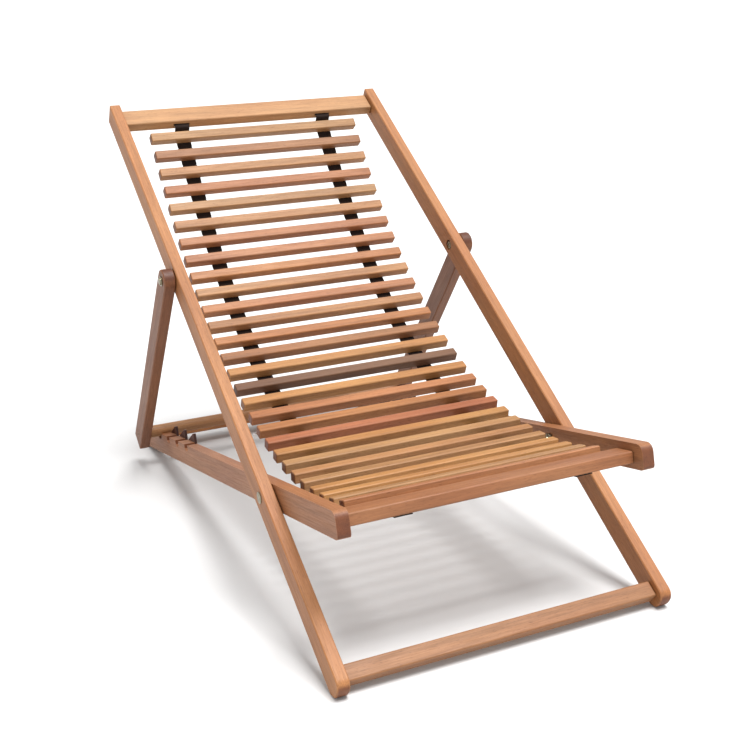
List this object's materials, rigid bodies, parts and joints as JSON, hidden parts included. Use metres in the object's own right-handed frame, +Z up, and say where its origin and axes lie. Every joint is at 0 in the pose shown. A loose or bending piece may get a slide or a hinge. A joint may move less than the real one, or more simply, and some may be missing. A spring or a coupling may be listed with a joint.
{
  "type": "folding deck chair",
  "caption": "Folding hardwood deck chair with crossed frames, a notched prop frame and a slatted sling on webbing straps.",
  "frame": {"origin": "centre of the bounding box on the ground", "axes": "+X to the right seen from the front, +Y from the front to the back, +Z up"},
  "size_m": [0.608, 1.111, 0.7172],
  "materials": {
    "oiled_hardwood": "satin",
    "stained_hardwood": "satin",
    "zinc_plated_steel": "satin",
    "webbing": "matte"
  },
  "bodies": {
    "long_frame": {"long_rail_left": "oiled_hardwood", "long_rail_right": "oiled_hardwood", "top_bar": "oiled_hardwood", "foot_bar": "oiled_hardwood", "main_bolt_left": "zinc_plated_steel", "main_bolt_right": "zinc_plated_steel", "main_nut_left": "zinc_plated_steel", "main_nut_right": "zinc_plated_steel", "main_washer_left": "zinc_plated_steel", "main_washer_right": "zinc_plated_steel", "prop_bolt_left": "zinc_plated_steel", "prop_bolt_right": "zinc_plated_steel", "prop_nut_left": "zinc_plated_steel", "prop_nut_right": "zinc_plated_steel", "prop_washer_left": "zinc_plated_steel", "prop_washer_right": "zinc_plated_steel", "strap_left": "webbing", "strap_right": "webbing"},
    "seat_frame": {"seat_rail_left": "oiled_hardwood", "seat_rail_right": "oiled_hardwood", "front_bar": "oiled_hardwood", "rear_bar": "oiled_hardwood", "notch_rack_left": "stained_hardwood", "notch_rack_right": "stained_hardwood"},
    "prop_frame": {"prop_leg_left": "oiled_hardwood", "prop_leg_right": "oiled_hardwood", "prop_dowel": "oiled_hardwood"},
    "slat_01": {"slat_01": "oiled_hardwood"},
    "slat_02": {"slat_02": "oiled_hardwood"},
    "slat_03": {"slat_03": "oiled_hardwood"},
    "slat_04": {"slat_04": "oiled_hardwood"},
    "slat_05": {"slat_05": "oiled_hardwood"},
    "slat_06": {"slat_06": "oiled_hardwood"},
    "slat_07": {"slat_07": "oiled_hardwood"},
    "slat_08": {"slat_08": "oiled_hardwood"},
    "slat_09": {"slat_09": "oiled_hardwood"},
    "slat_10": {"slat_10": "oiled_hardwood"},
    "slat_11": {"slat_11": "oiled_hardwood"},
    "slat_12": {"slat_12": "oiled_hardwood"},
    "slat_13": {"slat_13": "oiled_hardwood"},
    "slat_14": {"slat_14": "oiled_hardwood"},
    "slat_15": {"slat_15": "oiled_hardwood"},
    "slat_16": {"slat_16": "oiled_hardwood"},
    "slat_17": {"slat_17": "oiled_hardwood"},
    "slat_18": {"slat_18": "oiled_hardwood"},
    "slat_19": {"slat_19": "oiled_hardwood"},
    "slat_20": {"slat_20": "oiled_hardwood"},
    "slat_21": {"slat_21": "oiled_hardwood"},
    "slat_22": {"slat_22": "oiled_hardwood"},
    "slat_23": {"slat_23": "oiled_hardwood"},
    "slat_24": {"slat_24": "oiled_hardwood"},
    "slat_25": {"slat_25": "oiled_hardwood"},
    "slat_26": {"slat_26": "oiled_hardwood"},
    "slat_27": {"slat_27": "oiled_hardwood"},
    "slat_28": {"slat_28": "oiled_hardwood"}
  },
  "joints": [
    {"name": "fold", "type": "hinge", "parent": "long_frame", "child": "seat_frame", "pos_m": [0, -0.2761, 0.1951], "axis": [1, 0, 0], "range_deg": [0, 45.5], "deforming": ["strap_left", "strap_right"]},
    {"name": "prop_fold", "type": "hinge", "parent": "long_frame", "child": "prop_frame", "pos_m": [0, 0.1176, 0.4503], "axis": [1, 0, 0], "range_deg": [0, 88.92]},
    {"name": "slat_01_swing", "type": "hinge", "parent": "long_frame", "child": "slat_01", "pos_m": [0, 0.45316, 0.67379], "axis": [1, 0, 0], "range_deg": [-55.92, 0.05]},
    {"name": "slat_02_swing", "type": "hinge", "parent": "long_frame", "child": "slat_02", "pos_m": [0, 0.47053, 0.6917], "axis": [1, 0, 0], "range_deg": [-36.02, 0.05]},
    {"name": "slat_03_swing", "type": "hinge", "parent": "long_frame", "child": "slat_03", "pos_m": [0, 0.53304, 0.74834], "axis": [1, 0, 0], "range_deg": [-20.12, 0.05]},
    {"name": "slat_04_swing", "type": "hinge", "parent": "long_frame", "child": "slat_04", "pos_m": [0, 0.80516, 0.99506], "axis": [1, 0, 0], "range_deg": [-7.72, 0.05]},
    {"name": "slat_05_swing", "type": "hinge", "parent": "long_frame", "child": "slat_05", "pos_m": [0, -1.74396, -1.34046], "axis": [1, 0, 0], "range_deg": [-0.05, 1.76]},
    {"name": "slat_06_swing", "type": "hinge", "parent": "long_frame", "child": "slat_06", "pos_m": [0, -0.09801, 0.16195], "axis": [1, 0, 0], "range_deg": [-0.05, 8.55]},
    {"name": "slat_07_swing", "type": "hinge", "parent": "long_frame", "child": "slat_07", "pos_m": [0, 0.0397, 0.28461], "axis": [1, 0, 0], "range_deg": [-0.05, 13.17]},
    {"name": "slat_08_swing", "type": "hinge", "parent": "long_frame", "child": "slat_08", "pos_m": [0, 0.08055, 0.31926], "axis": [1, 0, 0], "range_deg": [-0.05, 16]},
    {"name": "slat_09_swing", "type": "hinge", "parent": "long_frame", "child": "slat_09", "pos_m": [0, 0.09382, 0.3297], "axis": [1, 0, 0], "range_deg": [-0.05, 17.39]},
    {"name": "slat_10_swing", "type": "hinge", "parent": "long_frame", "child": "slat_10", "pos_m": [0, 0.09585, 0.33113], "axis": [1, 0, 0], "range_deg": [-0.05, 17.68]},
    {"name": "slat_11_swing", "type": "hinge", "parent": "long_frame", "child": "slat_11", "pos_m": [0, 0.09277, 0.32931], "axis": [1, 0, 0], "range_deg": [-0.05, 17.14]},
    {"name": "slat_12_swing", "type": "hinge", "parent": "long_frame", "child": "slat_12", "pos_m": [0, 0.08773, 0.32716], "axis": [1, 0, 0], "range_deg": [-0.05, 16.06]},
    {"name": "slat_13_swing", "type": "hinge", "parent": "long_frame", "child": "slat_13", "pos_m": [0, 0.0829, 0.32648], "axis": [1, 0, 0], "range_deg": [-0.05, 14.67]},
    {"name": "slat_14_swing", "type": "hinge", "parent": "long_frame", "child": "slat_14", "pos_m": [0, 0.08003, 0.32848], "axis": [1, 0, 0], "range_deg": [-0.05, 13.17]},
    {"name": "slat_15_swing", "type": "hinge", "parent": "long_frame", "child": "slat_15", "pos_m": [0, 0.08048, 0.33369], "axis": [1, 0, 0], "range_deg": [-0.05, 11.75]},
    {"name": "slat_16_swing", "type": "hinge", "parent": "long_frame", "child": "slat_16", "pos_m": [0, 0.0847, 0.3416], "axis": [1, 0, 0], "range_deg": [-0.05, 10.56]},
    {"name": "slat_17_swing", "type": "hinge", "parent": "long_frame", "child": "slat_17", "pos_m": [0, 0.0913, 0.35005], "axis": [1, 0, 0], "range_deg": [-0.05, 9.72]},
    {"name": "slat_18_swing", "type": "hinge", "parent": "long_frame", "child": "slat_18", "pos_m": [0, 0.09638, 0.35537], "axis": [1, 0, 0], "range_deg": [-0.05, 9.32]},
    {"name": "slat_19_swing", "type": "hinge", "parent": "long_frame", "child": "slat_19", "pos_m": [0, 0.09461, 0.35376], "axis": [1, 0, 0], "range_deg": [-0.05, 9.42]},
    {"name": "slat_20_swing", "type": "hinge", "parent": "long_frame", "child": "slat_20", "pos_m": [0, 0.08213, 0.34378], "axis": [1, 0, 0], "range_deg": [-0.05, 10.06]},
    {"name": "slat_21_swing", "type": "hinge", "parent": "long_frame", "child": "slat_21", "pos_m": [0, 0.05877, 0.3271], "axis": [1, 0, 0], "range_deg": [-0.05, 11.25]},
    {"name": "slat_22_swing", "type": "hinge", "parent": "long_frame", "child": "slat_22", "pos_m": [0, 0.02763, 0.3072], "axis": [1, 0, 0], "range_deg": [-0.05, 12.96]},
    {"name": "slat_23_swing", "type": "hinge", "parent": "long_frame", "child": "slat_23", "pos_m": [0, -0.00746, 0.28723], "axis": [1, 0, 0], "range_deg": [-0.05, 15.13]},
    {"name": "slat_24_swing", "type": "hinge", "parent": "long_frame", "child": "slat_24", "pos_m": [0, -0.04348, 0.26909], "axis": [1, 0, 0], "range_deg": [-0.05, 17.69]},
    {"name": "slat_25_swing", "type": "hinge", "parent": "long_frame", "child": "slat_25", "pos_m": [0, -0.07841, 0.25364], "axis": [1, 0, 0], "range_deg": [-0.05, 20.52]},
    {"name": "slat_26_swing", "type": "hinge", "parent": "long_frame", "child": "slat_26", "pos_m": [0, -0.11107, 0.24108], "axis": [1, 0, 0], "range_deg": [-0.05, 23.48]},
    {"name": "slat_27_swing", "type": "hinge", "parent": "long_frame", "child": "slat_27", "pos_m": [0, -0.14067, 0.23131], "axis": [1, 0, 0], "range_deg": [-0.05, 26.4]},
    {"name": "slat_28_swing", "type": "hinge", "parent": "long_frame", "child": "slat_28", "pos_m": [0, -0.16647, 0.22411], "axis": [1, 0, 0], "range_deg": [-0.05, 29.1]}
  ],
  "couplings": [
    {"joint": "prop_fold", "follows": "fold", "ratio": 1.95},
    {"joint": "slat_01_swing", "follows": "fold", "ratio": -1.2279},
    {"joint": "slat_02_swing", "follows": "fold", "ratio": -0.7906},
    {"joint": "slat_03_swing", "follows": "fold", "ratio": -0.4411},
    {"joint": "slat_04_swing", "follows": "fold", "ratio": -0.1685},
    {"joint": "slat_05_swing", "follows": "fold", "ratio": 0.0376},
    {"joint": "slat_06_swing", "follows": "fold", "ratio": 0.1869},
    {"joint": "slat_07_swing", "follows": "fold", "ratio": 0.2884},
    {"joint": "slat_08_swing", "follows": "fold", "ratio": 0.3506},
    {"joint": "slat_09_swing", "follows": "fold", "ratio": 0.3812},
    {"joint": "slat_10_swing", "follows": "fold", "ratio": 0.3874},
    {"joint": "slat_11_swing", "follows": "fold", "ratio": 0.3757},
    {"joint": "slat_12_swing", "follows": "fold", "ratio": 0.3519},
    {"joint": "slat_13_swing", "follows": "fold", "ratio": 0.3213},
    {"joint": "slat_14_swing", "follows": "fold", "ratio": 0.2884},
    {"joint": "slat_15_swing", "follows": "fold", "ratio": 0.2572},
    {"joint": "slat_16_swing", "follows": "fold", "ratio": 0.231},
    {"joint": "slat_17_swing", "follows": "fold", "ratio": 0.2125},
    {"joint": "slat_18_swing", "follows": "fold", "ratio": 0.2037},
    {"joint": "slat_19_swing", "follows": "fold", "ratio": 0.206},
    {"joint": "slat_20_swing", "follows": "fold", "ratio": 0.2201},
    {"joint": "slat_21_swing", "follows": "fold", "ratio": 0.2462},
    {"joint": "slat_22_swing", "follows": "fold", "ratio": 0.2837},
    {"joint": "slat_23_swing", "follows": "fold", "ratio": 0.3314},
    {"joint": "slat_24_swing", "follows": "fold", "ratio": 0.3876},
    {"joint": "slat_25_swing", "follows": "fold", "ratio": 0.4498},
    {"joint": "slat_26_swing", "follows": "fold", "ratio": 0.5149},
    {"joint": "slat_27_swing", "follows": "fold", "ratio": 0.5792},
    {"joint": "slat_28_swing", "follows": "fold", "ratio": 0.6384}
  ]
}
